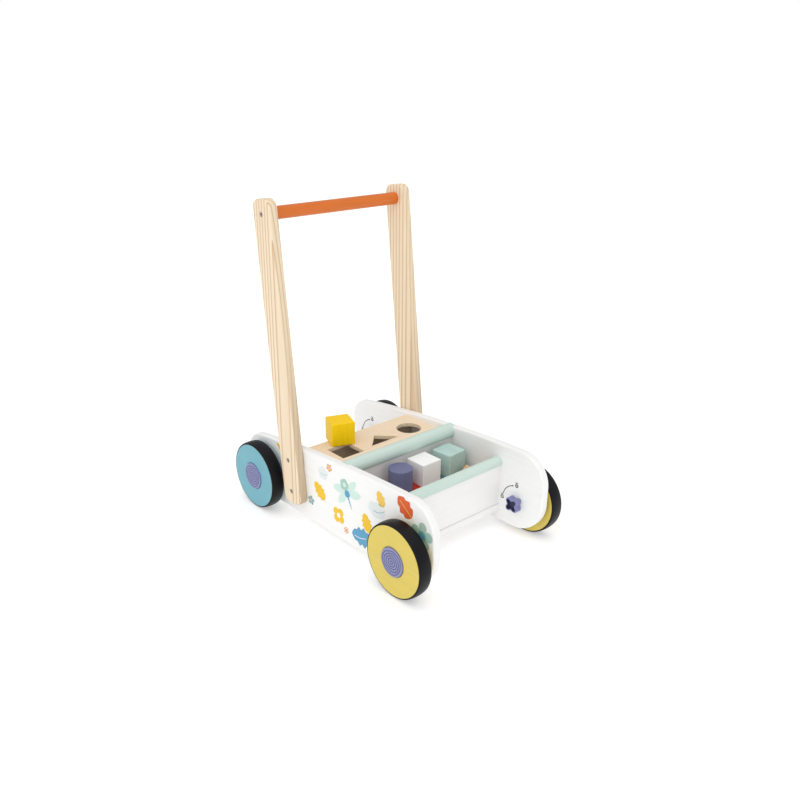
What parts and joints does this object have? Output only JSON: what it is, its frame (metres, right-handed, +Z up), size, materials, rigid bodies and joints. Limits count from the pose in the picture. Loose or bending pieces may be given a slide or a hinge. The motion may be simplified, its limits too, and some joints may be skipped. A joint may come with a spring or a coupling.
{
  "type": "baby walker",
  "caption": "Wooden push-along baby walker with a tray of blocks, a shape sorter, rubber-tyred wheels with brake knobs and a leaning push handle.",
  "frame": {"origin": "on the floor, midway between the side panels and midway between the two axle lines", "axes": "+Z up, -Y the front, towards which the walker is pushed, +X the walker's left side"},
  "size_m": [0.3158, 0.476, 0.5289],
  "materials": {
    "white_paint": "satin white paint",
    "mint_paint": "satin mint paint",
    "board_wood": "clear lacquered plywood",
    "pine": "clear lacquered pine",
    "orange_paint": "satin orange paint",
    "teal_paint": "satin teal paint",
    "mustard_paint": "satin mustard paint",
    "violet_paint": "satin violet paint",
    "knob_plastic": "moulded violet plastic",
    "rubber": "matt black rubber",
    "steel": "zinc plated",
    "nylon": "natural nylon",
    "yellow_paint": "satin yellow paint",
    "red_paint": "satin red paint",
    "natural_wood": "clear lacquered beech"
  },
  "bodies": {
    "root": {"right_side_panel": "white_paint", "left_side_panel": "white_paint", "floor_board": "white_paint", "front_wall": "white_paint", "divider_wall": "white_paint", "rear_wall": "white_paint", "front_rail": "mint_paint", "mid_rail": "mint_paint", "sorter_board": "board_wood", "right_post": "pine", "left_post": "pine", "handle_bar": "orange_paint", "front_right_axle_bolt": "steel", "front_right_washer": "nylon", "front_left_axle_bolt": "steel", "front_left_washer": "nylon", "rear_right_axle_bolt": "steel", "rear_right_washer": "nylon", "rear_left_axle_bolt": "steel", "rear_left_washer": "nylon", "right_handle_screw": "steel", "right_upper_post_bolt": "steel", "right_upper_post_nut": "steel", "right_lower_post_bolt": "steel", "right_lower_post_nut": "steel", "left_handle_screw": "steel", "left_upper_post_bolt": "steel", "left_upper_post_nut": "steel", "left_lower_post_bolt": "steel", "left_lower_post_nut": "steel"},
    "front_right_wheel": {"front_right_wheel_disc": "mustard_paint", "front_right_tyre": "rubber", "front_right_hub_cap": "violet_paint"},
    "front_right_knob": {"front_right_brake_knob": "knob_plastic"},
    "front_left_wheel": {"front_left_wheel_disc": "mustard_paint", "front_left_tyre": "rubber", "front_left_hub_cap": "violet_paint"},
    "front_left_knob": {"front_left_brake_knob": "knob_plastic"},
    "rear_right_wheel": {"rear_right_wheel_disc": "teal_paint", "rear_right_tyre": "rubber", "rear_right_hub_cap": "violet_paint"},
    "rear_right_knob": {"rear_right_brake_knob": "knob_plastic"},
    "rear_left_wheel": {"rear_left_wheel_disc": "teal_paint", "rear_left_tyre": "rubber", "rear_left_hub_cap": "violet_paint"},
    "rear_left_knob": {"rear_left_brake_knob": "knob_plastic"},
    "red_block_body": {"red_block": "red_paint"},
    "teal_cube_body": {"teal_cube": "teal_paint"},
    "natural_cube_body": {"natural_cube": "natural_wood"},
    "violet_cylinder_body": {"violet_cylinder": "violet_paint"},
    "white_cube_body": {"white_cube": "white_paint"},
    "mint_cube_body": {"mint_cube": "mint_paint"},
    "natural_roof_body": {"natural_roof": "natural_wood"},
    "yellow_cube_body": {"yellow_cube": "yellow_paint"}
  },
  "joints": [
    {"name": "front_right_wheel_spin", "type": "hinge", "parent": "root", "child": "front_right_wheel", "pos_m": [-0.1441, -0.1795, 0.0585], "axis": [1, 0, 0], "continuous": true},
    {"name": "front_right_knob_turn", "type": "hinge", "parent": "root", "child": "front_right_knob", "pos_m": [-0.1042, -0.1795, 0.0585], "axis": [1, 0, 0], "range_deg": [0, 90]},
    {"name": "front_left_wheel_spin", "type": "hinge", "parent": "root", "child": "front_left_wheel", "pos_m": [0.1441, -0.1795, 0.0585], "axis": [1, 0, 0], "continuous": true},
    {"name": "front_left_knob_turn", "type": "hinge", "parent": "root", "child": "front_left_knob", "pos_m": [0.1042, -0.1795, 0.0585], "axis": [1, 0, 0], "range_deg": [0, 90]},
    {"name": "rear_right_wheel_spin", "type": "hinge", "parent": "root", "child": "rear_right_wheel", "pos_m": [-0.1441, 0.1795, 0.0585], "axis": [1, 0, 0], "continuous": true},
    {"name": "rear_right_knob_turn", "type": "hinge", "parent": "root", "child": "rear_right_knob", "pos_m": [-0.1042, 0.1795, 0.0585], "axis": [1, 0, 0], "range_deg": [0, 90]},
    {"name": "rear_left_wheel_spin", "type": "hinge", "parent": "root", "child": "rear_left_wheel", "pos_m": [0.1441, 0.1795, 0.0585], "axis": [1, 0, 0], "continuous": true},
    {"name": "rear_left_knob_turn", "type": "hinge", "parent": "root", "child": "rear_left_knob", "pos_m": [0.1042, 0.1795, 0.0585], "axis": [1, 0, 0], "range_deg": [0, 90]},
    {"name": "red_block_lift", "type": "slide", "parent": "root", "child": "red_block_body", "axis": [0, 0, 1], "range_m": [0, 0.12]},
    {"name": "teal_cube_lift", "type": "slide", "parent": "root", "child": "teal_cube_body", "axis": [0, 0, 1], "range_m": [0, 0.12]},
    {"name": "natural_cube_lift", "type": "slide", "parent": "root", "child": "natural_cube_body", "axis": [0, 0, 1], "range_m": [0, 0.12]},
    {"name": "violet_cylinder_lift", "type": "slide", "parent": "red_block_body", "child": "violet_cylinder_body", "axis": [0, 0, 1], "range_m": [0, 0.12]},
    {"name": "white_cube_lift", "type": "slide", "parent": "red_block_body", "child": "white_cube_body", "axis": [0, 0, 1], "range_m": [0, 0.12]},
    {"name": "mint_cube_lift", "type": "slide", "parent": "teal_cube_body", "child": "mint_cube_body", "axis": [0, 0, 1], "range_m": [0, 0.12]},
    {"name": "natural_roof_lift", "type": "slide", "parent": "natural_cube_body", "child": "natural_roof_body", "axis": [0, 0, 1], "range_m": [0, 0.12]},
    {"name": "yellow_cube_lift", "type": "slide", "parent": "root", "child": "yellow_cube_body", "axis": [0, 0, 1], "range_m": [0, 0.12]}
  ]
}
